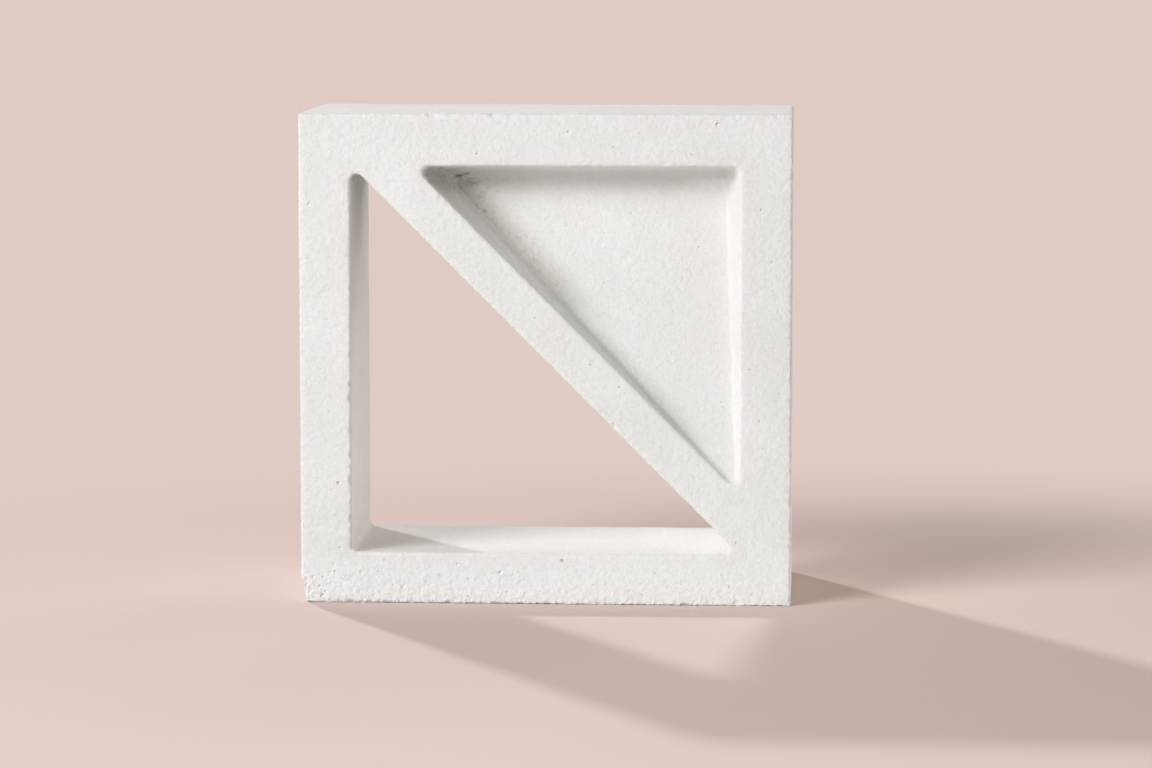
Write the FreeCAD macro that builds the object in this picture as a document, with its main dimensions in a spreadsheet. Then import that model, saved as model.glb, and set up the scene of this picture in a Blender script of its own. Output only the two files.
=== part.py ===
import FreeCAD, Part
import Sketcher
import os

# Decorative screen block: one solid casting of white concrete.
# A square rim carries a diagonal bar from its upper left to its lower right corner.
# Below the bar the block is open right through, and the opening widens towards the back.
# Above the bar lies a blind three-cornered recess with sloping walls. Its floor is a ramp:
# deep along the top edge, and rising almost to the face at the lower right tip.
#
# The block is drawn lying on its back, as it is cast: X across, Y up the face, and the face
# at Z = 0 with the depth below it. It is then stood up. Standing, X is across to the right,
# Y into the block and Z up, in millimetres, and the origin is the centre of the bottom.

# Driving dimensions, in millimetres and degrees
SIZES = {
    "block_width": 190.0,           # across the face
    "block_height": 190.0,          # from bed to bed
    "block_depth": 90.0,            # from face to back
    "rim_width": 20.0,              # each of the four bars round the edge, at the face
    "diagonal_bar_width": 16.5,     # square across the bar, at the face
    "opening_draft": 1.5,           # slope of the opening's walls, wider at the back
    "opening_corner_radius": 2.5,   # in the three inner corners of the opening
    "recess_depth": 16.0,           # at the top edge of the recess
    "recess_tip_depth": 2.0,        # at the lower right tip of the recess
    "recess_draft": 20.0,           # slope of the recess walls, narrower at the floor
    "recess_corner_radius": 3.0,    # in the three corners of the recess
    "recess_cove_radius": 1.5,      # where the recess walls meet the ramp
    "arris_radius": 1.0,            # every outer edge that a hand meets
}

# Lengths and angles that follow from the driving dimensions, as formulas
INNER_SIDE = "(sizes.block_width / 2 - sizes.rim_width)"
INNER_TOP = "(sizes.block_height - sizes.rim_width)"
INNER_WIDTH = "(sizes.block_width - 2 * sizes.rim_width)"
INNER_HEIGHT = "(sizes.block_height - 2 * sizes.rim_width)"
DIAGONAL = "sqrt(%s^2 + %s^2)" % (INNER_WIDTH, INNER_HEIGHT)
RECESS_WIDTH = "(%s - sizes.diagonal_bar_width * %s / %s)" % (INNER_WIDTH, DIAGONAL, INNER_HEIGHT)
RECESS_HEIGHT = "(%s - sizes.diagonal_bar_width * %s / %s)" % (INNER_HEIGHT, DIAGONAL, INNER_WIDTH)
RAMP_SLOPE = "atan((sizes.recess_depth - sizes.recess_tip_depth) / %s)" % RECESS_HEIGHT

# How near two places have to be to count as one
TOUCH = 1e-4

# Turned about X by this angle, the block stands with its face towards the viewer
STANDING_ANGLE = 90.0


def make_sheet(doc):
    """Writes the driving dimensions into a sheet, one alias a row."""
    sheet = doc.addObject("Spreadsheet::Sheet", "sizes")
    for row, (name, value) in enumerate(SIZES.items(), start=1):
        sheet.set("A%d" % row, name)
        sheet.set("B%d" % row, str(value))
        sheet.setAlias("B%d" % row, name)
    doc.recompute()
    return sheet


def face_plane(body):
    """Finds the body's own origin plane that the face lies in."""
    return next(item for item in body.Origin.OriginFeatures if item.Role == "XY_Plane")


def new_sketch(body, name):
    """Adds a sketch in the plane of the face."""
    sketch = body.newObject("Sketcher::SketchObject", name)
    sketch.AttachmentSupport = [(face_plane(body), "")]
    sketch.MapMode = "FlatFace"
    return sketch


def add_loop(sketch, points):
    """Draws a closed loop of straight lines and ties each end to the next start."""
    corners = [FreeCAD.Vector(across, up, 0) for across, up in points]
    ends = corners[1:] + corners[:1]
    lines = [sketch.addGeometry(Part.LineSegment(a, b)) for a, b in zip(corners, ends)]
    for line, following in zip(lines, lines[1:] + lines[:1]):
        sketch.addConstraint(Sketcher.Constraint("Coincident", line, 2, following, 1))
    return lines


def level(sketch, *lines):
    """Keeps lines level across the face."""
    for line in lines:
        sketch.addConstraint(Sketcher.Constraint("Horizontal", line))


def upright(sketch, *lines):
    """Keeps lines upright on the face."""
    for line in lines:
        sketch.addConstraint(Sketcher.Constraint("Vertical", line))


def dimension(sketch, name, formula, kind, *places):
    """Adds a named dimension and binds it to a formula of the sheet's values."""
    value = float(sketch.evalExpression(formula))
    index = sketch.addConstraint(Sketcher.Constraint(kind, *places, value))
    sketch.renameConstraint(index, name)
    sketch.setExpression("Constraints." + name, formula)


def draw_outline(body, size):
    """The block's square face, standing on the bottom edge and centred left to right."""
    half = size.block_width / 2
    top = size.block_height
    sketch = new_sketch(body, "outline")
    corners = [(-half, 0), (half, 0), (half, top), (-half, top)]
    bottom, right, upper, left = add_loop(sketch, corners)
    level(sketch, bottom, upper)
    upright(sketch, right, left)
    sketch.addConstraint(Sketcher.Constraint("Symmetric", bottom, 1, bottom, 2, -1, 1))
    dimension(sketch, "width", "sizes.block_width", "DistanceX", bottom, 1, bottom, 2)
    dimension(sketch, "height", "sizes.block_height", "DistanceY", right, 1, right, 2)
    return sketch


def draw_opening(body, size):
    """The open triangle: its square corner is lower left, its long side the inner diagonal."""
    side = size.block_width / 2 - size.rim_width
    low = size.rim_width
    high = size.block_height - size.rim_width
    sketch = new_sketch(body, "opening_outline")
    sill, slope, jamb = add_loop(sketch, [(-side, low), (side, low), (-side, high)])
    level(sketch, sill)
    upright(sketch, jamb)
    dimension(sketch, "left_rim", INNER_SIDE, "DistanceX", sill, 1, -1, 1)
    dimension(sketch, "bottom_rim", "sizes.rim_width", "DistanceY", -1, 1, sill, 1)
    dimension(sketch, "sill_length", INNER_WIDTH, "DistanceX", sill, 1, sill, 2)
    dimension(sketch, "jamb_height", INNER_HEIGHT, "DistanceY", jamb, 2, jamb, 1)
    return sketch


def draw_recess(body, size):
    """The recess's mouth: its long side runs beside the opening's, one bar's width away."""
    side = size.block_width / 2 - size.rim_width
    high = size.block_height - size.rim_width
    width = float(body.evalExpression(RECESS_WIDTH))
    height = float(body.evalExpression(RECESS_HEIGHT))
    sketch = new_sketch(body, "recess_outline")
    top, slope, right = add_loop(sketch, [(side, high), (side - width, high), (side, high - height)])
    level(sketch, top)
    upright(sketch, right)
    dimension(sketch, "right_rim", INNER_SIDE, "DistanceX", -1, 1, top, 1)
    dimension(sketch, "top_rim", INNER_TOP, "DistanceY", -1, 1, top, 1)
    dimension(sketch, "mouth_width", RECESS_WIDTH, "DistanceX", top, 2, top, 1)
    dimension(sketch, "mouth_height", RECESS_HEIGHT, "DistanceY", right, 1, right, 2)
    return sketch


def make_ramp(body):
    """The plane of the recess's floor, hinged on a level line below the recess's top edge."""
    ramp = body.newObject("PartDesign::Plane", "ramp")
    ramp.AttachmentSupport = [(face_plane(body), "")]
    ramp.MapMode = "FlatFace"
    tilt = FreeCAD.Rotation(FreeCAD.Vector(-1, 0, 0), float(body.evalExpression(RAMP_SLOPE)))
    ramp.AttachmentOffset = FreeCAD.Placement(FreeCAD.Vector(), tilt)
    ramp.setExpression("AttachmentOffset.Rotation.Angle", RAMP_SLOPE)
    ramp.setExpression("AttachmentOffset.Base.y", INNER_TOP)
    ramp.setExpression("AttachmentOffset.Base.z", "-sizes.recess_depth")
    return ramp


def names_of(shapes, kind, belongs):
    """Names those faces or edges of a shape that the given test picks."""
    names = [kind + str(number) for number, item in enumerate(shapes, start=1) if belongs(item)]
    if not names:
        raise RuntimeError("no %s fits the test" % kind.lower())
    return names


def in_plane(item, height):
    """True if a whole face or edge lies at that height while the block is on its back."""
    return abs(item.BoundBox.ZMin - height) < TOUCH and abs(item.BoundBox.ZMax - height) < TOUCH


def spans(edge, back):
    """True if the edge runs from the face to the back."""
    return abs(edge.BoundBox.ZMax) < TOUCH and abs(edge.BoundBox.ZMin - back) < TOUCH


def add_draft(body, name, angle, widens, is_wall):
    """Slopes walls from where they meet the face, so that they open or close with depth."""
    base = body.Tip
    draft = body.newObject("PartDesign::Draft", name)
    draft.Base = (base, names_of(base.Shape.Faces, "Face", is_wall))
    draft.NeutralPlane = (base, names_of(base.Shape.Faces, "Face", lambda face: in_plane(face, 0)))
    draft.Reversed = widens
    draft.setExpression("Angle", "sizes." + angle)
    body.Document.recompute()
    return draft


def add_fillet(body, name, radius, belongs):
    """Rounds those edges of the body's last feature that the given test picks."""
    base = body.Tip
    fillet = body.newObject("PartDesign::Fillet", name)
    fillet.Base = (base, names_of(base.Shape.Edges, "Edge", belongs))
    fillet.setExpression("Radius", "sizes." + radius)
    body.Document.recompute()
    return fillet


def cut_opening(body, size):
    """Cuts the open triangle right through, slopes its walls and rounds its corners."""
    back = -size.block_depth
    outer_side = size.block_width / 2 - TOUCH
    slab = body.Tip
    opening = body.newObject("PartDesign::Pocket", "opening")
    opening.Profile = draw_opening(body, size)
    opening.Type = "ThroughAll"
    body.Document.recompute()
    require_less(opening, slab)

    def is_wall(face):
        """True for a face through the block that isn't one of its four outer sides."""
        centre = face.CenterOfMass
        within_height = TOUCH < centre.y < size.block_height - TOUCH
        return spans(face, back) and within_height and abs(centre.x) < outer_side

    def is_corner(edge):
        """True for an edge that runs from the face to the back inside the rim."""
        return spans(edge, back) and abs(edge.CenterOfMass.x) < outer_side

    widened = add_draft(body, "opening_slope", "opening_draft", True, is_wall)
    require_less(widened, opening)
    add_fillet(body, "opening_corners", "opening_corner_radius", is_corner)


def cut_recess(body, size):
    """Sinks the recess down to the ramp, slopes its walls, and rounds its corners and floor."""
    deepest = -size.recess_depth - TOUCH
    before = body.Tip
    ramp = make_ramp(body)
    recess = body.newObject("PartDesign::Pocket", "recess")
    recess.Profile = draw_recess(body, size)
    recess.Type = "UpToFace"
    recess.UpToFace = (ramp, [""])
    body.Document.recompute()
    require_less(recess, before)

    def is_wall(item):
        """True for a face or edge that starts at the face and ends on the recess's floor."""
        return abs(item.BoundBox.ZMax) < TOUCH and deepest < item.BoundBox.ZMin < -TOUCH

    def is_floor_edge(edge):
        """True for an edge round the ramp, away from the face."""
        return deepest < edge.BoundBox.ZMin and edge.BoundBox.ZMax < -TOUCH

    narrowed = add_draft(body, "recess_slope", "recess_draft", False, is_wall)
    require_less(recess, narrowed)
    add_fillet(body, "recess_corners", "recess_corner_radius", is_wall)
    add_fillet(body, "recess_cove", "recess_cove_radius", is_floor_edge)


def round_arrises(body, size):
    """Rounds every edge of the face and of the back, and the four outer corners."""
    back = -size.block_depth
    outer_side = size.block_width / 2 - TOUCH

    def is_arris(edge):
        """True for an edge in the plane of the face or the back, or down an outer corner."""
        outer_corner = spans(edge, back) and abs(edge.CenterOfMass.x) > outer_side
        return outer_corner or in_plane(edge, 0) or in_plane(edge, back)

    add_fillet(body, "arrises", "arris_radius", is_arris)


def make_block(doc, size):
    """The casting: a square slab, opened below the diagonal bar and recessed above it."""
    block = doc.addObject("PartDesign::Body", "screen_block")
    block.Label = "screen_block"
    slab = block.newObject("PartDesign::Pad", "slab")
    slab.Profile = draw_outline(block, size)
    slab.Reversed = True
    slab.setExpression("Length", "sizes.block_depth")
    doc.recompute()
    cut_opening(block, size)
    cut_recess(block, size)
    round_arrises(block, size)

    # Stands the block on its bottom edge, with its middle depth over the origin
    standing = FreeCAD.Rotation(FreeCAD.Vector(1, 0, 0), STANDING_ANGLE)
    block.Placement = FreeCAD.Placement(FreeCAD.Vector(), standing)
    block.setExpression("Placement.Base.y", "-sizes.block_depth / 2")
    doc.recompute()
    return block


def require_less(smaller, larger):
    """Stops the build if the first feature's solid isn't smaller than the second's."""
    if not smaller.Shape.Volume < larger.Shape.Volume:
        raise RuntimeError("%s isn't smaller than %s" % (smaller.Label, larger.Label))


def require_sound(doc, parts):
    """Stops the build if any object failed or a part isn't one valid solid."""
    for item in doc.Objects:
        if "Invalid" in item.State or "Error" in item.State:
            raise RuntimeError(item.Label + " failed")
    for part in parts:
        if part.Shape.isNull() or not part.Shape.isValid() or len(part.Shape.Solids) != 1:
            raise RuntimeError(part.Label + " isn't one valid solid")


def main():
    """Builds the document, tests it and writes the block's solid."""
    doc = FreeCAD.newDocument("screen_block")
    size = make_sheet(doc)
    block = make_block(doc, size)
    require_sound(doc, [block])
    os.makedirs("parts", exist_ok=True)
    block.Shape.exportStep("parts/" + block.Label + ".step")
    box = block.Shape.BoundBox
    print("%s: %.1f x %.1f x %.1f mm, %.1f cm3" % (
        block.Label, box.XLength, box.YLength, box.ZLength, block.Shape.Volume / 1000))


main()
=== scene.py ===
"""Dresses a cast concrete screen block: worn arrises, pits and sandy white concrete in studio light."""

import logging
import math
import random
from dataclasses import dataclass, field
from enum import Enum

import bmesh
import bpy
import numpy as np
from mathutils import Matrix, Vector
from mathutils.kdtree import KDTree


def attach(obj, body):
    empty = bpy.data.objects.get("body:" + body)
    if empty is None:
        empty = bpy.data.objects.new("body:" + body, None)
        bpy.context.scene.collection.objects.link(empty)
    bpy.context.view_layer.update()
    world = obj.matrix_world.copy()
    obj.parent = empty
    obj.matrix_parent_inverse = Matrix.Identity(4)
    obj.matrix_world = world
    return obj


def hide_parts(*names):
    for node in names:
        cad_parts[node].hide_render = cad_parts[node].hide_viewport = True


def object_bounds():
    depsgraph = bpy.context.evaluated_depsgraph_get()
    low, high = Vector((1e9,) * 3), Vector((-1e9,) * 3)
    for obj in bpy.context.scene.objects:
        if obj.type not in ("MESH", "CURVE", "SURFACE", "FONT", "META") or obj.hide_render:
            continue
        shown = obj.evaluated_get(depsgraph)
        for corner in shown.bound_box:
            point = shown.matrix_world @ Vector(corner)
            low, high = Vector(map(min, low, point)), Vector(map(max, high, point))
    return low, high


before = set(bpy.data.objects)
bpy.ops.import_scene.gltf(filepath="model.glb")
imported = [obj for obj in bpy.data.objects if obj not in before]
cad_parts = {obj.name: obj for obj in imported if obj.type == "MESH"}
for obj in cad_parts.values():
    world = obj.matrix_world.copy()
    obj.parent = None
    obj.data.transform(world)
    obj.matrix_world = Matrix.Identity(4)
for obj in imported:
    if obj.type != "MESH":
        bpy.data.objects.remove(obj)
cad_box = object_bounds()

log = logging.getLogger("screen_block")

Colour = tuple[float, float, float]
Socket = bpy.types.NodeSocket
MM = 0.001
OPAQUE = 1.0

# The way into the block from its face, and how far ahead of the face a look at its surface starts
INWARD = Vector((0.0, 1.0, 0.0))
LOOK_FROM = 10.0 * MM

# The photograph's frame and the focal length measured in it, in its pixels
PHOTO_WIDTH = 1152
PHOTO_FOCAL = 2080.0

# The plain blush that is seen behind the block
BACKDROP: Colour = (0.745, 0.600, 0.553)

# The smallest pore as a share of the given radius, and the flat floor of each as a share of its own
LEAST_PORE = 0.35
PORE_FLOOR = 0.55


class Bite(Enum):
    """The forms that a missing bit of concrete leaves behind."""

    FLAKE = "flake"
    PORE = "pore"


class Edge(Enum):
    """The two ways in which faces of the casting meet, each with the sign of the angle between them."""

    ARRIS = 1.0
    HOLLOW = -1.0


class Mark(Enum):
    """What the mesh tells the finish about each of its points."""

    # Nearness to an arris, for a lighter colour that is partly wear and partly a painted highlight
    WORN = "worn_and_highlit"
    # How soiled a point is, with painted shade in the recess's creases and corners
    SOILED = "soiled_and_shaded"


def select_only(piece: bpy.types.Object) -> None:
    """Makes one object the only selected and the active one.

    Args:
        piece: The object to select.
    """
    bpy.ops.object.select_all(action="DESELECT")
    piece.select_set(True)
    bpy.context.view_layer.objects.active = piece


def apply_modifier(piece: bpy.types.Object, kind: str, **settings: object) -> None:
    """Adds a modifier, sets it up and applies it.

    Args:
        piece: The object to change.
        kind: The modifier's type, such as REMESH.
        settings: The modifier's properties by name.
    """
    modifier = piece.modifiers.new(kind.lower(), kind)
    for name, value in settings.items():
        setattr(modifier, name, value)
    select_only(piece)
    bpy.ops.object.modifier_apply(modifier=modifier.name)


def triangle_count(piece: bpy.types.Object) -> int:
    """Counts a mesh's triangles, with each wider face counted as the triangles that it splits into."""
    corners = len(piece.data.loops)
    return corners - 2 * len(piece.data.polygons)


def split_faces(piece: bpy.types.Object) -> None:
    """Splits every face into triangles without doubling any, so that the mesh stays closed.

    Args:
        piece: The mesh object.
    """
    mesh = bmesh.new()
    mesh.from_mesh(piece.data)
    bmesh.ops.triangulate(mesh, faces=mesh.faces[:])
    mesh.to_mesh(piece.data)
    mesh.free()


def rows_of(piece: bpy.types.Object, what: str) -> np.ndarray:
    """Reads a threefold value that a mesh has at its points.

    Args:
        piece: The mesh object.
        what: The value's name: co for the place, normal for the way out of the surface.

    Returns:
        A row of three numbers for each point.
    """
    flat = np.zeros(len(piece.data.vertices) * 3, np.float32)
    piece.data.vertices.foreach_get(what, flat)
    return flat.reshape(-1, 3)


def smooth_step(values: np.ndarray, start: float, end: float) -> np.ndarray:
    """Eases values from 0 at start to 1 at end."""
    share = np.clip((values - start) / (end - start), 0.0, 1.0)
    return share * share * (3.0 - 2.0 * share)


def weigh(piece: bpy.types.Object, name: str, weights: np.ndarray, steps: int = 24) -> None:
    """Makes a vertex group from weights.

    Args:
        piece: The mesh object.
        name: The group's name.
        weights: One weight from 0 to 1 for each point.
        steps: How many different weights are kept.
    """
    group = piece.vertex_groups.new(name=name)
    levels = np.rint(weights * steps).astype(int)
    for level in range(1, steps + 1):
        members = np.flatnonzero(levels == level)
        group.add(members.tolist(), level / steps, "REPLACE")


class Bench:
    """A node tree to which nodes are added and wired by name."""

    # Sockets of the Mix node when it mixes colours
    MIX_A = 6
    MIX_B = 7
    MIX_RESULT = 2

    def __init__(self, tree: bpy.types.NodeTree) -> None:
        """Keeps the tree and clears it."""
        self.tree = tree
        tree.nodes.clear()

    def add(self, kind: str, inputs: dict | None = None, **settings: object) -> bpy.types.Node:
        """Adds a node.

        Args:
            kind: The node's type without its ShaderNode prefix.
            inputs: Values or sockets for the node's inputs, by name or number.
            settings: The node's properties by name.

        Returns:
            The new node.
        """
        node = self.tree.nodes.new("ShaderNode" + kind)
        for name, value in settings.items():
            setattr(node, name, value)
        for name, value in (inputs or {}).items():
            self.feed(node.inputs[name], value)
        return node

    def group(self, tree: bpy.types.NodeTree, inputs: dict) -> Socket:
        """Places a node group with its own values and returns its one output."""
        return self.add("Group", inputs, node_tree=tree).outputs[0]

    def feed(self, socket: Socket, value: object) -> None:
        """Links a socket to another one, or sets it to a plain value.

        Args:
            socket: The input to feed.
            value: The other socket or the plain value.
        """
        if isinstance(value, Socket):
            self.tree.links.new(value, socket)
        else:
            socket.default_value = value

    def math(self, operation: str, *values: object) -> Socket:
        """Adds a Math node and returns its output."""
        return self.add("Math", dict(enumerate(values)), operation=operation).outputs[0]

    def measure(self, operation: str, *vectors: object) -> Socket:
        """Adds a Vector Math node that gives a number and returns that output."""
        return self.add("VectorMath", dict(enumerate(vectors)), operation=operation).outputs["Value"]

    def ease(self, value: object, low: object, high: object, out: tuple = (0.0, 1.0)) -> Socket:
        """Adds a smooth step from one value range to another and returns its output."""
        inputs = {"Value": value, "From Min": low, "From Max": high, "To Min": out[0], "To Max": out[1]}
        return self.add("MapRange", inputs, interpolation_type="SMOOTHSTEP").outputs["Result"]

    def mix(self, share: object, first: object, second: object) -> Socket:
        """Adds a Mix node for two colours and returns its output."""
        inputs = {0: share, self.MIX_A: first, self.MIX_B: second}
        return self.add("Mix", inputs, data_type="RGBA").outputs[self.MIX_RESULT]

    def noise(self, vector: object, scale: object, detail: float, rough: float) -> Socket:
        """Adds a Noise Texture and returns its grey output."""
        inputs = {"Vector": vector, "Scale": scale, "Detail": detail, "Roughness": rough}
        return self.add("TexNoise", inputs).outputs["Fac"]

    def mark(self, mark: Mark) -> Socket:
        """Reads one of the mesh's own marks."""
        return self.add("Attribute", attribute_name=mark.value).outputs["Fac"]

    def seen(self) -> Socket:
        """Tells rays that show a thing to the eye from those that only light other things.

        Returns:
            The output that is 1 for a ray from the camera, and for one seen in gloss or through glass.
        """
        path = self.add("LightPath").outputs
        shown = self.math("MAXIMUM", path["Is Camera Ray"], path["Is Glossy Ray"])
        return self.math("MAXIMUM", shown, path["Is Transmission Ray"])


@dataclass(frozen=True)
class Ramp:
    """A smooth step: the values that it runs between, and what it gives at the first and at the last."""

    start: float
    end: float
    first: float = 0.0
    last: float = 1.0

    def of(self, bench: Bench, value: Socket) -> Socket:
        """Places the step on a bench and returns its output."""
        return bench.ease(value, self.start, self.end, (self.first, self.last))


@dataclass(frozen=True)
class Cloud:
    """A noise: its blobs a metre, its octaves of detail, and how strong the finer octaves are."""

    scale: float
    detail: float
    rough: float

    def of(self, bench: Bench, place: Socket) -> Socket:
        """Places the noise on a bench and returns its grey output."""
        return bench.noise(place, self.scale, self.detail, self.rough)


# The step and the noise's detail and roughness of a tone that drifts over the surface
TONE_STEP = Ramp(0.32, 0.68)
TONE_DETAIL = 5.0
TONE_ROUGH = 0.62


def solid(colour: Colour) -> tuple[float, float, float, float]:
    """Gives a colour its alpha."""
    return (*colour, OPAQUE)


def new_group(name: str, inputs: dict[str, str], output: tuple[str, str]) -> bpy.types.NodeTree:
    """Makes an empty shader node group with its sockets.

    Args:
        name: The group's name.
        inputs: Each input's name and socket type.
        output: The one output's name and socket type.

    Returns:
        The group's node tree.
    """
    tree = bpy.data.node_groups.new(name, "ShaderNodeTree")
    for socket, kind in inputs.items():
        tree.interface.new_socket(socket, in_out="INPUT", socket_type=kind)
    tree.interface.new_socket(output[0], in_out="OUTPUT", socket_type=output[1])
    return tree


def tone_drift_group() -> bpy.types.NodeTree:
    """Builds the group for a colour that drifts between two tones over the surface.

    Returns:
        The group's node tree.
    """
    sockets = {
        "Vector": "NodeSocketVector",
        "Scale": "NodeSocketFloat",
        "Low": "NodeSocketColor",
        "High": "NodeSocketColor",
    }
    tree = new_group("tone_drift", sockets, ("Color", "NodeSocketColor"))
    bench = Bench(tree)
    given = bench.tree.nodes.new("NodeGroupInput").outputs
    taken = bench.tree.nodes.new("NodeGroupOutput").inputs
    cloud = bench.noise(given["Vector"], given["Scale"], TONE_DETAIL, TONE_ROUGH)
    share = TONE_STEP.of(bench, cloud)
    bench.feed(taken["Color"], bench.mix(share, given["Low"], given["High"]))
    return tree


def pores_group() -> bpy.types.NodeTree:
    """Builds the group for round pores: a mask that is 1 inside a few cells of a random net.

    Returns:
        The group's node tree.
    """
    sockets = {
        "Vector": "NodeSocketVector",
        "Scale": "NodeSocketFloat",
        "Radius": "NodeSocketFloat",
        "Share": "NodeSocketFloat",
    }
    tree = new_group("pores", sockets, ("Mask", "NodeSocketFloat"))
    bench = Bench(tree)
    given = bench.tree.nodes.new("NodeGroupInput").outputs
    taken = bench.tree.nodes.new("NodeGroupOutput").inputs
    cells = bench.add("TexVoronoi", {"Vector": given["Vector"], "Scale": given["Scale"]})
    lots = bench.add("SeparateColor", {"Color": cells.outputs["Color"]}).outputs
    chosen = bench.math("LESS_THAN", lots["Red"], given["Share"])
    radius = bench.math("MULTIPLY", given["Radius"], bench.math("ADD", lots["Green"], LEAST_PORE))
    inner = bench.math("MULTIPLY", radius, PORE_FLOOR)
    hole = bench.ease(cells.outputs["Distance"], inner, radius, (1.0, 0.0))
    bench.feed(taken["Mask"], bench.math("MULTIPLY", hole, chosen))
    return tree


@dataclass(frozen=True)
class Effects:
    """The shader node groups that the finishes share."""

    tone_drift: bpy.types.NodeTree
    pores: bpy.types.NodeTree

    @classmethod
    def make(cls) -> "Effects":
        """Builds each group once."""
        return cls(tone_drift_group(), pores_group())


@dataclass(frozen=True)
class PoreSize:
    """One size of pore: the net's cells a metre, the radius in a cell, and the shares of cells with one."""

    scale: float
    radius: float
    share: float
    share_at_foot: float


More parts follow.
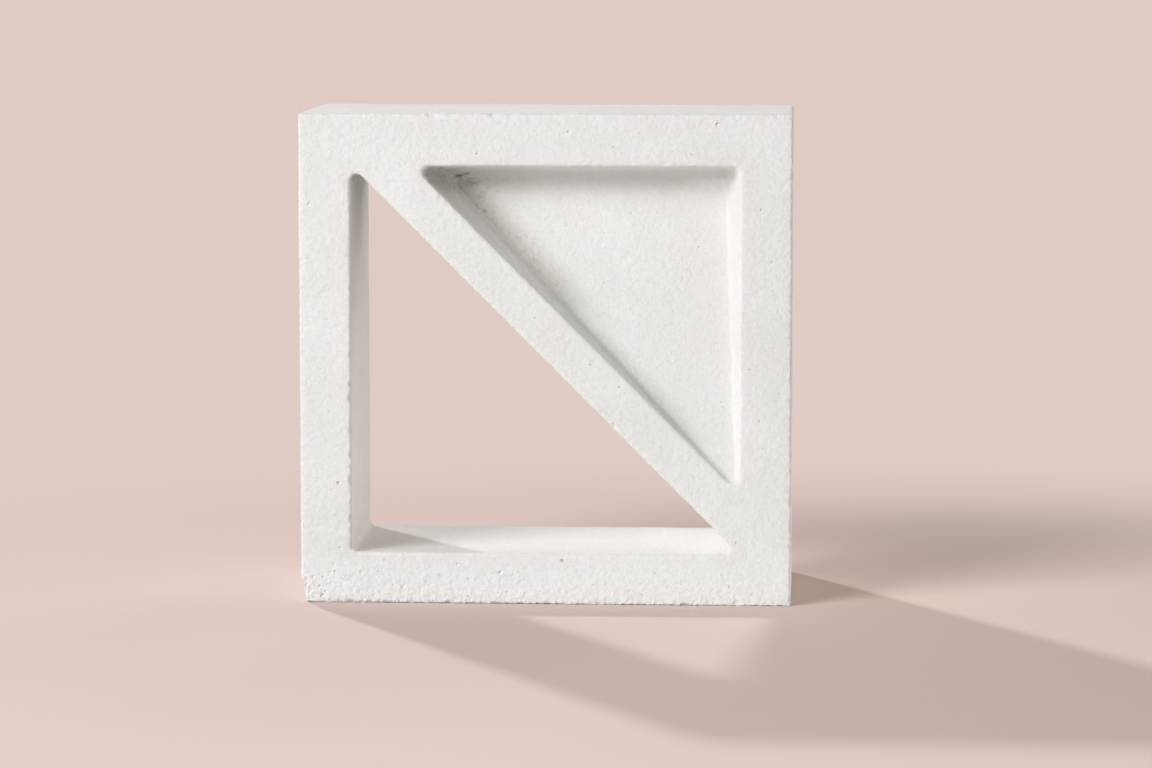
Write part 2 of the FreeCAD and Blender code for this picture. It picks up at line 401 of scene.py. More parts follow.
@dataclass(frozen=True)
class WhiteConcrete:
    """The casting's finish: matt white concrete with a drifting tone, sandy grain and pores."""

    name: str = "white_concrete_cast"
    low_tone: Colour = (0.796, 0.782, 0.761)
    high_tone: Colour = (0.832, 0.820, 0.802)
    grain_tone: Colour = (0.62, 0.60, 0.565)
    # The pores' colour is painted shade inside the holes
    pore_shade_tone: Colour = (0.44, 0.42, 0.385)
    # The soil colour, also painted as shade in the recess's creases, under its top edge and near its tip
    soil_and_shade_tone: Colour = (0.205, 0.192, 0.130)
    # Lighter arrises: partly worn concrete, partly a painted highlight along every arris
    arris_highlight_and_wear_tone: Colour = (0.870, 0.860, 0.842)
    # A paler foot: partly scuffing, partly painted light standing in for light thrown up from the floor
    scuffed_and_lit_tone: Colour = (0.900, 0.892, 0.878)
    drift_scale: float = 24.0
    bloom: Cloud = Cloud(120.0, 5.0, 0.65)
    lumps: Cloud = Cloud(430.0, 3.0, 0.55)
    dust: Cloud = Cloud(480.0, 3.0, 0.55)
    sand: Cloud = Cloud(720.0, 3.0, 0.6)
    grain: Cloud = Cloud(1300.0, 2.0, 0.6)
    arris_wear_and_highlight: Ramp = Ramp(0.4, 0.7, 0.1, 0.6)
    sand_shade: Ramp = Ramp(0.38, 0.68, 0.0, 0.15)
    grain_shade: Ramp = Ramp(0.56, 0.74, 0.0, 0.16)
    specks: Ramp = Ramp(0.50, 0.75, 0.0, 0.38)
    soil_and_shade_film: float = 0.90
    most_soil_and_shade: float = 0.92
    pore_shade: float = 0.7
    fine_pore_depth: float = 0.6
    scuffed_and_lit: float = 0.8
    foot: Ramp = Ramp(4.0 * MM, 26.0 * MM, 1.0, 0.0)
    lumpy_foot: Ramp = Ramp(2.0 * MM, 18.0 * MM, 1.0, 0.0)
    side_weight: Ramp = Ramp(-10.0 * MM, 60.0 * MM, 1.0, 0.50)
    lump_height: float = 1.30
    foot_lump_height: float = 1.65
    sand_height: float = 0.64
    grain_height: float = 0.25
    bump_height: float = 0.32 * MM
    roughness: Ramp = Ramp(0.3, 0.7, 0.86, 0.97)
    specular: float = 0.3
    wide_pores: PoreSize = PoreSize(310.0, 0.20, 0.004, 0.020)
    fine_pores: PoreSize = PoreSize(800.0, 0.26, 0.009, 0.045)

    def material(self, effects: Effects) -> bpy.types.Material:
        """Builds the finish.

        Args:
            effects: The shared node groups.

        Returns:
            The finished material.
        """
        made = bpy.data.materials.new(self.name)
        made.use_nodes = True
        bench = Bench(made.node_tree)
        place = bench.add("TexCoord").outputs["Object"]
        axes = bench.add("SeparateXYZ", {"Vector": place}).outputs
        foot = self.foot.of(bench, axes["Z"])
        side = self.side_weight.of(bench, axes["X"])
        lumpy = bench.math("MULTIPLY", self.lumpy_foot.of(bench, axes["Z"]), side)
        # Paler towards the foot and the left: scuffing with painted light
        scuffed_and_lit = bench.math("MULTIPLY", foot, bench.math("MULTIPLY", side, self.scuffed_and_lit))
        lumps = self.lumps.of(bench, place)
        sand = self.sand.of(bench, place)
        grain = self.grain.of(bench, place)
        wide = self.pores(bench, effects, place, foot, self.wide_pores)
        fine = self.pores(bench, effects, place, foot, self.fine_pores)
        holes = bench.math("MAXIMUM", wide, bench.math("MULTIPLY", fine, self.fine_pore_depth))
        colour = self.colour(bench, effects, place, scuffed_and_lit, sand, grain, holes)
        swell = bench.math("MULTIPLY_ADD", lumpy, self.foot_lump_height, self.lump_height)
        height = bench.math("MULTIPLY_ADD", sand, self.sand_height, bench.math("MULTIPLY", lumps, swell))
        height = bench.math("MULTIPLY_ADD", grain, self.grain_height, height)
        height = bench.math("SUBTRACT", height, holes)
        bump = bench.add("Bump", {"Strength": 1.0, "Distance": self.bump_height, "Height": height})
        surface = {
            "Base Color": colour,
            "Roughness": self.roughness.of(bench, lumps),
            "Normal": bump.outputs["Normal"],
            "Specular IOR Level": self.specular,
        }
        shader = bench.add("BsdfPrincipled", surface)
        bench.add("OutputMaterial", {"Surface": shader.outputs["BSDF"]})
        return made

    def pores(self, bench: Bench, effects: Effects, place: Socket, foot: Socket, size: PoreSize) -> Socket:
        """Places pores of one size, more of them near the foot.

        Args:
            bench: The material's bench.
            effects: The shared node groups.
            place: The surface point on the object.
            foot: How near the foot of the block a point is.
            size: The pores' size and shares.

        Returns:
            The pores' mask.
        """
        share = bench.math("MULTIPLY_ADD", foot, size.share_at_foot - size.share, size.share)
        inputs = {"Vector": place, "Scale": size.scale, "Radius": size.radius, "Share": share}
        return bench.group(effects.pores, inputs)

    def colour(self, bench: Bench, effects: Effects, place: Socket, scuffed_and_lit: Socket, sand: Socket,
               grain: Socket, holes: Socket) -> Socket:
        """Layers the drifting tone, the worn arrises with a painted highlight, the scuffed foot with painted
        light, the sand, the soil with painted shade and the pores with painted shade.

        Args:
            bench: The material's bench.
            effects: The shared node groups.
            place: The surface point on the object.
            scuffed_and_lit: How scuffed a point is, with painted light that brightens the foot.
            sand: The noise of the coarse sand.
            grain: The noise of the finest grains.
            holes: The pores' mask.

        Returns:
            The colour's socket.
        """
        tones = {"Low": solid(self.low_tone), "High": solid(self.high_tone)}
        base = bench.group(effects.tone_drift, {"Vector": place, "Scale": self.drift_scale, **tones})
        # Painted highlight and wear along the arrises
        bloom = self.arris_wear_and_highlight.of(bench, self.bloom.of(bench, place))
        worn_and_highlit = bench.math("MULTIPLY", bench.mark(Mark.WORN), bloom)
        colour = bench.mix(worn_and_highlit, base, solid(self.arris_highlight_and_wear_tone))
        colour = bench.mix(scuffed_and_lit, colour, solid(self.scuffed_and_lit_tone))
        colour = bench.mix(self.sand_shade.of(bench, sand), colour, solid(self.grain_tone))
        colour = bench.mix(self.grain_shade.of(bench, grain), colour, solid(self.grain_tone))
        # Dust specks and dirt, together with painted shade in the recess
        soil_and_shade_film = bench.math("ADD", self.specks.of(bench, self.dust.of(bench, place)), self.soil_and_shade_film)
        soiled_and_shaded = bench.math("MULTIPLY", bench.mark(Mark.SOILED), soil_and_shade_film)
        colour = bench.mix(bench.math("MINIMUM", soiled_and_shaded, self.most_soil_and_shade), colour, solid(self.soil_and_shade_tone))
        # Painted shade inside the pores
        return bench.mix(bench.math("MULTIPLY", holes, self.pore_shade), colour, solid(self.pore_shade_tone))


@dataclass(frozen=True)
class PaleFloor:
    """The floor's finish: a plain pale blush, which throws a neutral light on what stands on it."""

    name: str = "pale_floor"
    tone: Colour = (0.770, 0.620, 0.572)
    fade: Ramp = Ramp(0.24, 0.58)
    fade_centre: tuple[float, float, float] = (0.06, -0.14, 0.0)
    thrown_near: Colour = (0.960, 0.945, 0.925)
    thrown_far: Colour = (0.620, 0.610, 0.597)
    thrown_fade: Ramp = Ramp(0.10, 0.60)
    thrown_behind: Colour = (0.360, 0.345, 0.325)
    ahead: tuple[float, float, float] = (0.6, -0.8, 0.0)
    ahead_blend: Ramp = Ramp(-0.15, 0.15)
    roughness: float = 0.9
    specular: float = 0.0

    def material(self) -> bpy.types.Material:
        """Builds the finish, which keeps shadows near the block and fades into the backdrop far off.

        Returns:
            The finished material.
        """
        made = bpy.data.materials.new(self.name)
        made.use_nodes = True
        bench = Bench(made.node_tree)
        place = bench.add("TexCoord").outputs["Object"]
        side = self.ahead_blend.of(bench, bench.measure("DOT_PRODUCT", place, self.ahead))
        away = self.thrown_fade.of(bench, bench.measure("LENGTH", place))
        ahead = bench.mix(away, solid(self.thrown_near), solid(self.thrown_far))
        thrown = bench.mix(side, solid(self.thrown_behind), ahead)
        seen = bench.seen()
        colour = bench.mix(seen, thrown, solid(self.tone))
        surface = {"Base Color": colour, "Roughness": self.roughness, "Specular IOR Level": self.specular}
        shader = bench.add("BsdfPrincipled", surface)
        glow = bench.add("Emission", {"Color": solid(BACKDROP)})
        past = self.fade.of(bench, bench.measure("DISTANCE", place, self.fade_centre))
        far = bench.math("MULTIPLY", past, seen)
        parts = {0: far, 1: shader.outputs["BSDF"], 2: glow.outputs["Emission"]}
        bench.add("OutputMaterial", {"Surface": bench.add("MixShader", parts).outputs["Shader"]})
        return made


@dataclass(frozen=True)
class EdgeLine:
    """A straight stretch of an edge of the casting, with the way that points out of the block."""

    start: Vector
    end: Vector
    outward: Vector

    @property
    def length(self) -> float:
        """The stretch's length, in metres."""
        return (self.end - self.start).length

    @property
    def along(self) -> Vector:
        """The stretch's direction."""
        return (self.end - self.start).normalized()

    def point(self, share: float) -> Vector:
        """The point at a share of the way from start to end."""
        return self.start.lerp(self.end, share)


@dataclass
class EdgeMap:
    """The casting's edges of one kind, found on its own mesh."""

    kind: Edge
    least_angle: float = math.radians(2.5)
    sample_step: float = 1.0 * MM
    lines: list[EdgeLine] = field(default_factory=list)
    owners: list[EdgeLine] = field(default_factory=list)
    tree: KDTree = field(default_factory=lambda: KDTree(0))

    def find(self, piece: bpy.types.Object) -> None:
        """Collects each edge where two faces meet at an angle of the wanted kind.

        Args:
            piece: The merged copy of the casting.
        """
        mesh = bmesh.new()
        mesh.from_mesh(piece.data)
        for edge in mesh.edges:
            if self.kind.value * edge.calc_face_angle_signed(0.0) > self.least_angle:
                start, end = (corner.co.copy() for corner in edge.verts)
                outward = sum((face.normal for face in edge.link_faces), Vector()).normalized()
                self.lines.append(EdgeLine(start, end, outward))
        mesh.free()
        self.plant_tree()

    def plant_tree(self) -> None:
        """Fills the search tree with points along every edge."""
        samples = []
        for line in self.lines:
            count = max(1, math.ceil(line.length / self.sample_step))
            samples += [line.point((number + 0.5) / count) for number in range(count)]
            self.owners += [line] * count
        self.tree = KDTree(len(samples))
        for number, sample in enumerate(samples):
            self.tree.insert(sample, number)
        self.tree.balance()

    def nearest(self, point: Vector) -> tuple[Vector, EdgeLine]:
        """Finds the edge that passes nearest to a point.

        Args:
            point: Where to look.

        Returns:
            The nearest point on an edge, and that edge.
        """
        at, number, _ = self.tree.find(point)
        return at.copy(), self.owners[number]

    def nearness(self, points: np.ndarray, reach: float) -> np.ndarray:
        """Rates points from 1 on an edge to 0 at a given reach from it.

        Args:
            points: The points, in rows.
            reach: The distance at which the rating has fallen to 0.

        Returns:
            One rating for each point.
        """
        distances = np.array([self.tree.find(point)[2] for point in points])
        return 1.0 - smooth_step(distances, 0.0, reach)


@dataclass(frozen=True)
class BiteForm:
    """How a bite of one kind is shaped, as shares of its size: along an edge, across it and outwards."""

    kind: Bite
    proportions: tuple[float, float, float]
    roughness: float
    lift: tuple[float, float]
    seed: int
    shapes: int = 5
    subdivisions: int = 2
    radial: float = 0.5

    def models(self) -> list[bpy.types.Object]:
        """Models a few bites of unit size, each rough in its own way.

        Returns:
            The models, which stand at the origin.
        """
        made = []
        for number in range(self.shapes):
            bpy.ops.object.select_all(action="DESELECT")
            bpy.ops.mesh.primitive_ico_sphere_add(subdivisions=self.subdivisions, radius=1.0)
            bpy.ops.object.mode_set(mode="EDIT")
            bpy.ops.mesh.select_all(action="SELECT")
            seed = self.seed + number
            bpy.ops.transform.vertex_random(offset=self.roughness, normal=self.radial, seed=seed)
            bpy.ops.transform.resize(value=self.proportions)
            bpy.ops.object.mode_set(mode="OBJECT")
            model = bpy.context.active_object
            model.name = f"{self.kind.value}_model_{number}"
            made.append(model)
        return made


@dataclass(frozen=True)
class Spot:
    """A spot on the face: its place from the lower left corner and its size, in millimetres."""

    across: float
    up: float
    size: float = 0.0

    def on_face(self) -> Vector:
        """The spot's place on the plane of the face, in metres."""
        low = cad_box[0]
        return Vector((low.x + self.across * MM, low.y, low.z + self.up * MM))

    def on_piece(self, piece: bpy.types.Object) -> tuple[bool, Vector, Vector]:
        """Looks from the front for the surface behind the spot's place.

        Args:
            piece: The casting.

        Returns:
            Whether there is a surface, the point on it, and the way out of it.
        """
        start = self.on_face() - INWARD * LOOK_FROM
        found, at, normal, _ = piece.ray_cast(start, INWARD)
        return found, at, normal


# Broken bits of arris that show: at the foot, on the left jamb, on the sill and on the diagonal bar
FACE_FLAKES = (
    Spot(19.0, 0.2, 1.6), Spot(0.2, 19.5, 1.2), Spot(27.0, 0.2, 1.5), Spot(58.0, 0.2, 1.6),
    Spot(20.3, 79.6, 1.5), Spot(20.3, 57.5, 1.3), Spot(20.3, 52.8, 1.0), Spot(20.3, 47.8, 1.5),
    Spot(20.3, 43.6, 1.3), Spot(20.3, 39.0, 1.2), Spot(20.3, 33.4, 1.4), Spot(82.0, 20.0, 1.0),
    Spot(85.0, 20.0, 0.9), Spot(48.3, 162.5, 0.8), Spot(54.8, 157.3, 0.9), Spot(20.3, 86.0, 1.2),
    Spot(20.3, 72.0, 1.1), Spot(20.3, 66.5, 1.3), Spot(20.3, 28.0, 1.2), Spot(20.3, 97.0, 1.0),
)

# Air bubbles that show on the face
FACE_PORES = (
    Spot(15.0, 47.0, 0.8), Spot(77.6, 12.3, 1.0), Spot(61.0, 15.3, 0.7), Spot(13.0, 15.3, 0.6),
    Spot(69.0, 174.5, 0.6), Spot(104.0, 183.0, 0.6), Spot(161.0, 186.0, 0.7), Spot(178.0, 153.5, 0.6),
    Spot(4.0, 155.0, 0.7), Spot(87.4, 141.7, 0.5), Spot(61.4, 165.6, 1.2), Spot(4.9, 9.8, 0.8),
    Spot(8.7, 9.8, 0.7), Spot(7.2, 6.1, 0.9), Spot(9.5, 4.3, 0.6), Spot(8.2, 2.8, 0.8),
    Spot(13.3, 12.2, 0.6), Spot(23.3, 12.2, 0.6), Spot(39.8, 6.4, 0.7), Spot(32.5, 16.8, 0.6),
    Spot(15.4, 21.5, 0.5),
)

# Dirt that has settled in the recess's upper left corner, with each spot's size as its reach
FACE_STAINS = (
    Spot(60.8, 165.7, 3.0), Spot(64.6, 166.3, 2.4), Spot(68.2, 166.7, 2.0), Spot(65.0, 162.4, 3.6),
)

# The upper left tip of the recess's mouth, where most of the dirt and painted shade lies
RECESS_TIP = Spot(52.0, 168.0)


@dataclass(frozen=True)
class SoilAndShade:
    """A film of dirt and painted shade: the share of the surface that it covers, and the stretch over which
    it fades.
    """

    level: float
    fade: tuple[float, float]

    def at(self, distances: np.ndarray) -> np.ndarray:
        """The film's share at each distance."""
        return self.level * (1.0 - smooth_step(distances, *self.fade))


@dataclass(frozen=True)
class Break:
    """A broken corner: its place from the block's low corner and its size, in mm, and the way out of it."""

    across: float
    deep: float
    up: float
    size: float
    outward: tuple[float, float, float]

    def place(self) -> Vector:
        """The middle of the break, in metres."""
        return cad_box[0] + Vector((self.across, self.deep, self.up)) * MM


# The lower left corner, which is broken along the edge that runs back from the face
CORNER_BREAK = Break(-1.2, 7.0, 4.5, 10.0, (-1.0, -0.22, -0.22))


class Carver:
    """Collects bites and takes them all out of the casting at once."""

    def __init__(self, form: BiteForm, seed: int) -> None:
        """Models the bites and starts with none of them set, and a random draw of its own.

        Args:
            form: The bites' form.
            seed: The seed of the random draw.
        """
        self.form = form
        self.models = form.models()
        self.draw = random.Random(seed)
        self.copies: list[bpy.types.Object] = []
        self.taken: list[tuple[Vector, float]] = []

    def clear_of_others(self, centre: Vector, reach: float) -> bool:
        """True if a bite of that reach would touch no other one."""
        return all((centre - other).length > reach + room for other, room in self.taken)

    def set_bite(self, at: Vector, along: Vector, outward: Vector, size: float) -> None:
        """Sets one bite, unless it would touch another one.

        Args:
            at: The point on the surface.
            along: The long direction of the bite.
            outward: The direction out of the concrete.
            size: The bite's size, in metres.
        """
        form = self.form
        centre = at + outward * size * form.proportions[2] * self.draw.uniform(*form.lift)
        reach = size * max(form.proportions) * (1.0 + form.roughness)
        model = self.draw.choice(self.models)
        if not self.clear_of_others(centre, reach):
            return
        across = outward.cross(along).normalized()
        ahead = across.cross(outward).normalized()
        turn = Matrix((ahead, across, outward)).transposed().to_4x4()
        copy = model.copy()
        copy.data = model.data.copy()
        copy.data.transform(Matrix.Translation(centre) @ turn @ Matrix.Scale(size, 4))
        bpy.context.scene.collection.objects.link(copy)
        self.copies.append(copy)
        self.taken.append((centre, reach))

    def carve(self, piece: bpy.types.Object) -> None:
        """Takes the set bites out of a piece and clears the bench.

        Args:
            piece: The casting.
        """
        log.info("%s: %d bites", self.form.kind.value, len(self.copies))
        bpy.ops.object.select_all(action="DESELECT")
        for copy in self.copies:
            copy.select_set(True)
        bpy.context.view_layer.objects.active = self.copies[0]
        bpy.ops.object.join()
        cutter = bpy.context.active_object
        apply_modifier(piece, "BOOLEAN", operation="DIFFERENCE", solver="MANIFOLD", object=cutter)
        select_only(cutter)
        for model in self.models:
            model.select_set(True)
        bpy.ops.object.delete()


@dataclass(frozen=True)
class Relief:
    """An uneven skin: blobs of one size that stand out or in by a height, where a vertex group has it."""

    name: str
    blob: float
    height: float
    middle: float = 0.5
    group: str = ""
    contrast: float = 1.6
    octaves: int = 2

    def press(self, piece: bpy.types.Object) -> None:
        """Displaces a piece's skin along its normals.

        Args:
            piece: The mesh object.
        """
        texture = bpy.data.textures.new(self.name, "CLOUDS")
        texture.noise_scale = self.blob
        texture.noise_depth = self.octaves
        texture.contrast = self.contrast
        apply_modifier(piece, "DISPLACE", texture=texture, strength=self.height, mid_level=self.middle,
                       vertex_group=self.group, direction="NORMAL", texture_coords="LOCAL")


@dataclass(frozen=True)
class RecessDirtAndShade:
    """The dirt that has settled in the recess and the painted shade there, with places counted from the
    block's low corner.
    """

    depth: float = 22.0 * MM
    diagonal: float = 205.0 * MM
    corner: float = 172.0 * MM
    mouth: tuple[float, float] = (0.4 * MM, 2.4 * MM)
    # Dirt and painted shade: crease darkens the inner creases, ceiling the recess's top wall, drift the
    # floor past the diagonal wall's foot, haze and tip the recess's tip
    crease: SoilAndShade = SoilAndShade(0.20, (145.0 * MM, 160.0 * MM))
    crease_reach: float = 6.0 * MM
    crease_elsewhere: float = 0.05
    ceiling: float = 0.22
    ceiling_depth: tuple[float, float] = (0.4 * MM, 8.0 * MM)
    ceiling_height: tuple[float, float] = (163.0 * MM, 165.5 * MM)
    drift: SoilAndShade = SoilAndShade(0.48, (60.0 * MM, 100.0 * MM))
    drift_band: tuple[float, float] = (219.0 * MM, 236.0 * MM)
    floor_facing: tuple[float, float] = (0.5, 0.9)
    haze: SoilAndShade = SoilAndShade(0.38, (15.0 * MM, 50.0 * MM))
    haze_on_walls: float = 0.35
    tip: SoilAndShade = SoilAndShade(0.24, (6.0 * MM, 20.0 * MM))
    stain_core: float = 0.30

    def rate(self, piece: bpy.types.Object, points: np.ndarray, hollows: EdgeMap) -> np.ndarray:
        """Rates the dirt and painted shade: films and a haze that thicken towards the recess's tip, and the
        stains.

        Args:
            piece: The casting.
            points: Its points, in rows.
            hollows: Its inner edges, which hold a little dirt and painted shade outside the recess too.

        Returns:
            One rating for each point.
        """
        across, deep, up = (points - np.array(cad_box[0])).T
        from_tip = np.linalg.norm(points - np.array(RECESS_TIP.on_face()), axis=1)
        on_floor = smooth_step(-rows_of(piece, "normal")[:, 1], *self.floor_facing)
        crease = hollows.nearness(points, self.crease_reach)
        ceiling = smooth_step(up, *self.ceiling_height) * smooth_step(deep, *self.ceiling_depth)
        drift = on_floor * (1.0 - smooth_step(across + up, *self.drift_band))
        # Dirt with painted shade along the creases, past the diagonal wall's foot and on the recess's top
        # wall
        soil_and_shade_films = (
            crease * self.crease.at(across),
            drift * self.drift.at(from_tip),
            ceiling * self.ceiling,
        )
        # Dirt with painted shade that deepens towards the recess's tip
        haze = self.haze.at(from_tip) * (self.haze_on_walls + (1.0 - self.haze_on_walls) * on_floor)
        darkened = np.maximum.reduce(soil_and_shade_films) + haze + self.tip.at(from_tip)
        darkened = np.maximum(darkened, self.stains(piece, points)) * smooth_step(deep, *self.mouth)
        inside = (deep < self.depth) & (across + up > self.diagonal) & (np.maximum(across, up) < self.corner)
        return np.where(inside, darkened, crease * self.crease_elsewhere)

    def stains(self, piece: bpy.types.Object, points: np.ndarray) -> np.ndarray:
        """Rates points from 1 in the core of a stain to 0 outside all of them.

        Args:
            piece: The casting.
            points: Its points, in rows.

        Returns:
            One rating for each point.
        """
        ratings = np.zeros(len(points))
        for spot in FACE_STAINS:
            distances = np.linalg.norm(points - np.array(spot.on_piece(piece)[1]), axis=1)
            reach = spot.size * MM
            ratings = np.maximum(ratings, 1.0 - smooth_step(distances, self.stain_core * reach, reach))
        return ratings


@dataclass
class ScreenBlock:
    """The casting: the CAD solid's own shape with chipped arrises, pits and a slightly uneven skin."""

    node: str = "screen_block"
    name: str = "screen_block_casting"
    seed: int = 20
    flake_tries: int = 900
    pits: int = 80
    foot_pits: int = 45
    flake_size: tuple[float, float] = (0.45 * MM, 2.0 * MM)
    flake_rarity: int = 4
    sheltered_size: float = 0.5
    pit_size: tuple[float, float] = (0.25 * MM, 0.60 * MM)
    pit_rarity: int = 3
    rim_width: float = 20.0 * MM
    foot_height: float = 22.0 * MM
    foot_core: float = 0.2
    edge_margin: float = 3.0 * MM
    sheltered_wear: float = 0.25
    outer_wear: float = 0.55
    jamb_wear: float = 0.50
    crumbled_reach: float = 14.0 * MM
    crumbled_core: float = 0.6
    arris_reach: float = 1.4 * MM
    crisp_reach: float = 2.4 * MM
    calm_factor: float = 0.5
    calm_rounds: int = 4
    weld: float = 0.001 * MM
    voxel: float = 0.50 * MM
    quick_voxel: float = 1.2 * MM
    triangles: int = 150_000
    smooth_angle: float = math.radians(38.0)
    flake_form: BiteForm = BiteForm(Bite.FLAKE, (1.5, 1.0, 0.8), 0.22, (0.20, 0.65), 11)
    pit_form: BiteForm = BiteForm(Bite.PORE, (1.1, 1.0, 1.0), 0.12, (-0.10, 0.40), 31)
    reliefs: tuple[Relief, ...] = (
        Relief("mould_waves", 26.0 * MM, 0.22 * MM),
        Relief("skin_lumps", 5.0 * MM, 0.07 * MM),
        Relief("foot_lumps", 2.8 * MM, 0.24 * MM, 0.6, "foot"),
        Relief("arris_nibbles", 1.1 * MM, 0.75 * MM, 0.70, "arris"),
    )
    dirt_and_shade: RecessDirtAndShade = RecessDirtAndShade()
    arrises: EdgeMap = field(default_factory=lambda: EdgeMap(Edge.ARRIS))
    hollows: EdgeMap = field(default_factory=lambda: EdgeMap(Edge.HOLLOW))

    def build(self) -> bpy.types.Object:
        """Makes the casting's mesh.

        Returns:
            The finished piece, without its material.
        """
        piece = self.copy_solid()
        self.arrises.find(piece)
        self.hollows.find(piece)
        self.chip(piece)
        voxel = self.voxel
        apply_modifier(piece, "REMESH", mode="VOXEL", voxel_size=voxel)
        self.roughen(piece)
        apply_modifier(piece, "DECIMATE", ratio=min(1.0, self.triangles / triangle_count(piece)))
        self.pit(piece)
        split_faces(piece)
        self.mark(piece)
        select_only(piece)
        bpy.ops.object.shade_smooth_by_angle(angle=self.smooth_angle)
        return piece

    def dress(self, piece: bpy.types.Object, finish: bpy.types.Material) -> None:
        """Gives the piece its finish and ties it to the CAD block.

        Args:
            piece: The built piece.
            finish: The concrete's material.
        """
        piece.data.materials.clear()
        piece.data.materials.append(finish)
        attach(piece, "root")
        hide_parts(self.node)

    def copy_solid(self) -> bpy.types.Object:
        """Copies the CAD block and merges the copy's loose triangles.

        Returns:
            The copy, free of the block's own marks.
        """
        select_only(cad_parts[self.node])
        bpy.ops.object.duplicate()
        piece = bpy.context.active_object
        piece.name = self.name
        piece.data.name = self.name
        piece.parent = None
        for mark in list(piece.keys()):
            del piece[mark]
        bpy.ops.object.mode_set(mode="EDIT")
        bpy.ops.mesh.select_all(action="SELECT")
        bpy.ops.mesh.remove_doubles(threshold=self.weld)
        bpy.ops.object.mode_set(mode="OBJECT")
        return piece

    def wear(self, points: np.ndarray) -> np.ndarray:
        """Rates how worn an arris is at each point, up to 1 where the block was set down or knocked.

        Args:
            points: The points, in rows.

        Returns:
            One rating for each point.
        """
        low, high = cad_box
        x, y, z = points.T
        on_floor = z < low.z + self.edge_margin
        on_face = y < low.y + self.edge_margin
        on_side = (x < low.x + self.edge_margin) | (x > high.x - self.edge_margin)
        on_top = z > high.z - self.edge_margin
        beside_opening = np.abs(x - low.x - self.rim_width) < self.edge_margin
        rating = np.full(len(points), self.sheltered_wear)
        rating[on_side | on_top] = self.outer_wear
        rating[on_face & beside_opening & (z < high.z / 2.0)] = self.jamb_wear
        rating[on_floor] = 1.0
        return rating

    def chip(self, piece: bpy.types.Object) -> None:
        """Breaks flakes off the arrises: those that show, then others where the block is worn.

        Args:
            piece: The casting.
        """
        carver = Carver(self.flake_form, self.seed)
        draw = carver.draw
        outward = Vector(CORNER_BREAK.outward).normalized()
        carver.set_bite(CORNER_BREAK.place(), INWARD, outward, CORNER_BREAK.size * MM)
        for spot in FACE_FLAKES:
            at, line = self.arrises.nearest(spot.on_face())
            carver.set_bite(at, line.along, line.outward, spot.size * MM)
        lengths = [line.length for line in self.arrises.lines]
        smallest, largest = self.flake_size
        for line in draw.choices(self.arrises.lines, lengths, k=self.flake_tries):
            at = line.point(draw.random())
            size = smallest + (largest - smallest) * draw.random() ** self.flake_rarity
            wear = self.wear(np.array([at]))[0]
            if draw.random() < wear:
                share = self.sheltered_size + (1.0 - self.sheltered_size) * wear
                carver.set_bite(at, line.along, line.outward, size * share)
        carver.carve(piece)

    def roughen(self, piece: bpy.types.Object) -> None:
        """Evens out the faces, gives them the slight waves of a mould and wears the arrises.

        Args:
            piece: The casting.
        """
        points = rows_of(piece, "co")
        foot = 1.0 - smooth_step(points[:, 2], self.foot_core * self.foot_height, self.foot_height)
        arris = self.arrises.nearness(points, self.arris_reach) * self.wear(points)
        weigh(piece, "calm", 1.0 - self.arrises.nearness(points, self.crisp_reach))
        weigh(piece, "foot", foot)
        weigh(piece, "arris", np.maximum(arris, self.crumbled(points)))
        calm = {"factor": self.calm_factor, "iterations": self.calm_rounds, "vertex_group": "calm"}
        apply_modifier(piece, "SMOOTH", **calm)
        for relief in self.reliefs:
            relief.press(piece)
        piece.vertex_groups.clear()

    def crumbled(self, points: np.ndarray) -> np.ndarray:
        """Rates from 0 to 1 how near each point is to the broken corner."""
        away = np.linalg.norm(points - np.array(CORNER_BREAK.place()), axis=1)
        return 1.0 - smooth_step(away, self.crumbled_core * self.crumbled_reach, self.crumbled_reach)

    def pit(self, piece: bpy.types.Object) -> None:
        """Opens air bubbles: those that show on the face, then others at random over every side.

        Args:
            piece: The casting.
        """
        carver = Carver(self.pit_form, self.seed + 1)
        draw = carver.draw
        for spot in FACE_PORES:
            found, at, normal = spot.on_piece(piece)
            if found:
                carver.set_bite(at, normal.orthogonal(), normal, spot.size * MM)
        faces = piece.data.polygons
        areas = [face.area for face in faces]
        foot_areas = [face.area if face.center.z < self.foot_height else 0.0 for face in faces]
        chosen = draw.choices(range(len(faces)), areas, k=self.pits)
        chosen += draw.choices(range(len(faces)), foot_areas, k=self.foot_pits)
        smallest, largest = self.pit_size
        for number in chosen:
            normal = faces[number].normal.copy()
            size = smallest + (largest - smallest) * draw.random() ** self.pit_rarity
            carver.set_bite(faces[number].center.copy(), normal.orthogonal(), normal, size)
        carver.carve(piece)

    def mark(self, piece: bpy.types.Object) -> None:
        """Writes how worn each arris is, with a painted highlight, and how soiled each point is, with
        painted shade, for the finish.

        Args:
            piece: The casting.
        """
        points = rows_of(piece, "co")
        ratings = {
            Mark.WORN: self.arrises.nearness(points, self.arris_reach),
            Mark.SOILED: self.dirt_and_shade.rate(piece, points, self.hollows),
        }
        for mark, values in ratings.items():
            layer = piece.data.attributes.new(mark.value, "FLOAT", "POINT")
            layer.data.foreach_set("value", values.astype(np.float32))


@dataclass
class Floor:
    """A plain floor that runs past every view."""

    size: float = 60.0
    name: str = "floor"

    def build(self) -> bpy.types.Object:
        """Adds the floor at the height that the block stands on.

        Returns:
            The floor, without its material.
        """
        bpy.ops.object.select_all(action="DESELECT")
        bpy.ops.mesh.primitive_plane_add(size=self.size, location=(0.0, 0.0, cad_box[0].z))
        floor = bpy.context.active_object
        floor.name = self.name
        return floor

    def dress(self, floor: bpy.types.Object, finish: bpy.types.Material) -> None:
        """Gives the floor its finish."""
        floor.data.materials.append(finish)


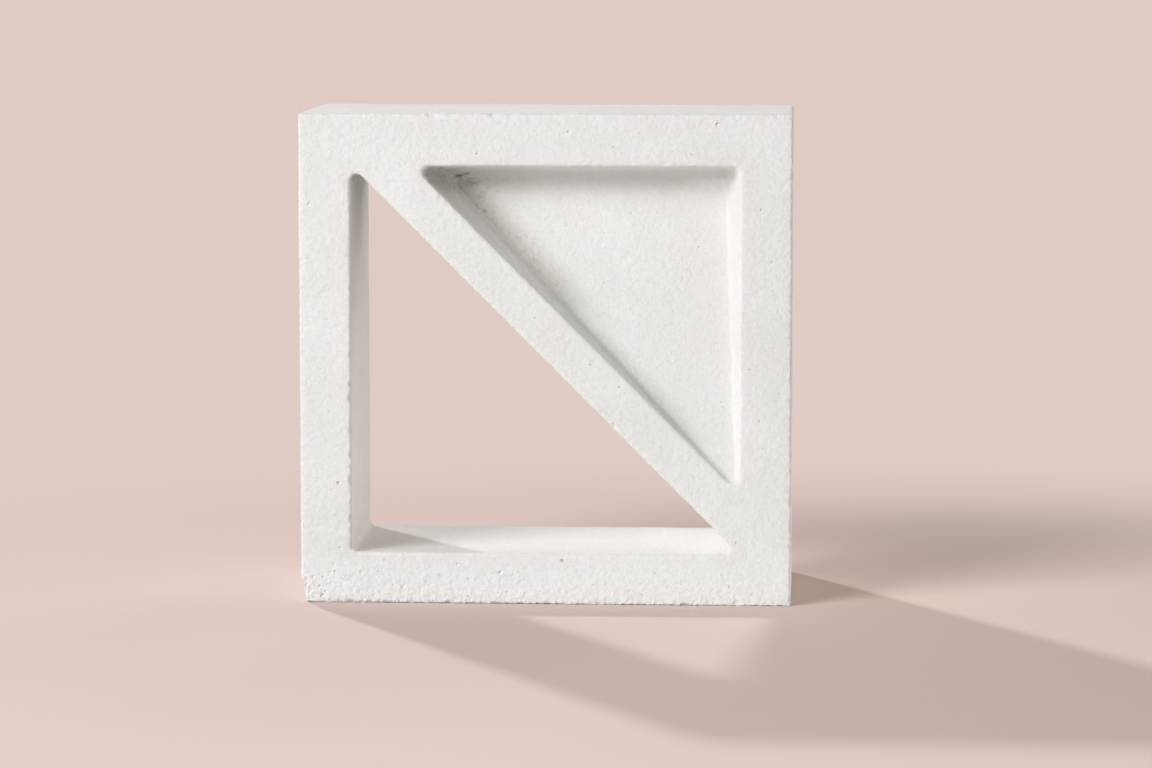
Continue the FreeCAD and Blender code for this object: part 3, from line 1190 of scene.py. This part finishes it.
@dataclass(frozen=True)
class Lamp:
    """A lamp that looks at the block: its place round it, how wide it looks, and its level of light."""

    name: str
    azimuth: float
    elevation: float
    distance: float
    spread: float
    level: float
    tint: Colour = (1.0, 1.0, 1.0)

    def build(self, target: Vector) -> None:
        """Hangs the lamp.

        Args:
            target: The point that the lamp looks at.
        """
        turn = math.radians(self.azimuth)
        rise = math.radians(self.elevation)
        level_way = Vector((math.sin(turn), -math.cos(turn), 0.0)) * math.cos(rise)
        away = level_way + Vector((0.0, 0.0, math.sin(rise)))
        lamp = bpy.data.objects.new(self.name, self.source())
        lamp.data.color = self.tint
        lamp.location = target + away * self.distance
        lamp.rotation_euler = (-away).to_track_quat("-Z", "Y").to_euler()
        bpy.context.scene.collection.objects.link(lamp)

    def source(self) -> bpy.types.Light:
        """Makes a source under which a white matt face square to it renders at the lamp's level."""
        raise NotImplementedError


class NearLamp(Lamp):
    """A soft square lamp, whose light falls off across the block."""

    def source(self) -> bpy.types.Light:
        """Makes the square lamp.

        Returns:
            The light, whose width follows from the distance.
        """
        data = bpy.data.lights.new(self.name, "AREA")
        data.size = 2.0 * self.distance * math.tan(math.radians(self.spread) / 2.0)
        data.energy = self.level * math.pi ** 2 * self.distance ** 2
        return data


class FarLamp(Lamp):
    """A lamp so far away that its light is even."""

    def source(self) -> bpy.types.Light:
        """Makes the far lamp.

        Returns:
            The light, whose angle softens the shadows.
        """
        data = bpy.data.lights.new(self.name, "SUN")
        data.angle = math.radians(self.spread)
        data.energy = self.level * math.pi
        return data


@dataclass
class Studio:
    """The light round the block: a soft key, a crisp lamp and a faint glow from behind, a pale room."""

    key: Lamp = NearLamp("key", -45.0, 27.0, 2.5, 30.0, 0.89, (0.990, 0.982, 1.0))
    back: Lamp = FarLamp("back", -149.0, 31.0, 2.0, 3.5, 0.47, (0.965, 0.975, 1.0))
    glow: Lamp = FarLamp("glow", 148.0, 9.0, 2.0, 30.0, 0.31, (1.0, 0.92, 0.86))
    room_light: float = 0.68
    room_lean: tuple[float, float, float] = (0.34, 0.12, -0.64)
    room_ahead: Colour = (1.0, 0.980, 0.955)
    room_behind: Colour = (1.0, 0.920, 0.880)
    room_blend: Ramp = Ramp(-0.2, 0.5)

    def build(self, target: Vector) -> None:
        """Hangs the lamps and sets the world.

        Args:
            target: The point that the lamps look at.
        """
        for lamp in (self.key, self.back, self.glow):
            lamp.build(target)
        world = bpy.data.worlds.new("pale_room")
        world.use_nodes = True
        bench = Bench(world.node_tree)
        way = bench.add("TexCoord").outputs["Generated"]
        lean = bench.measure("DOT_PRODUCT", way, self.room_lean)
        level = bench.math("ADD", lean, self.room_light)
        depth = bench.add("SeparateXYZ", {"Vector": way}).outputs["Y"]
        behind = self.room_blend.of(bench, depth)
        tint = bench.mix(behind, solid(self.room_ahead), solid(self.room_behind))
        light = bench.add("VectorMath", {0: tint, "Scale": level}, operation="SCALE").outputs["Vector"]
        colour = bench.mix(bench.seen(), light, solid(BACKDROP))
        ground = bench.add("Background", {"Color": colour})
        bench.add("OutputWorld", {"Surface": ground.outputs["Background"]})
        bpy.context.scene.world = world


@dataclass
class PhotoCamera:
    """The photograph's viewpoint, with a longer lens aimed at the one block."""

    place: tuple[float, float, float] = (0.099, -1.595, 0.255)
    target: tuple[float, float, float] = (0.012, -0.045, 0.086)
    zoom: float = 1.95
    sensor: float = 36.0

    def build(self) -> None:
        """Places the camera and makes it the scene's own."""
        data = bpy.data.cameras.new("photo_camera")
        data.sensor_width = self.sensor
        data.lens = self.sensor * PHOTO_FOCAL / PHOTO_WIDTH * self.zoom
        camera = bpy.data.objects.new("photo_camera", data)
        camera.location = self.place
        view = Vector(self.target) - Vector(self.place)
        camera.rotation_euler = view.to_track_quat("-Z", "Y").to_euler()
        bpy.context.scene.collection.objects.link(camera)
        bpy.context.scene.camera = camera


def main() -> None:
    """Builds the block, its floor, the light and the camera, in that order."""
    logging.basicConfig(level=logging.INFO, format="%(name)s: %(message)s")
    bpy.context.scene.view_settings.view_transform = "Standard"
    effects = Effects.make()
    block = ScreenBlock()
    piece = block.build()
    block.dress(piece, WhiteConcrete().material(effects))
    log.info("%s: %d triangles", piece.name, triangle_count(piece))
    floor = Floor()
    floor.dress(floor.build(), PaleFloor().material())
    Studio().build((cad_box[0] + cad_box[1]) / 2.0)
    PhotoCamera().build()


if __name__ == "__main__":
    main()
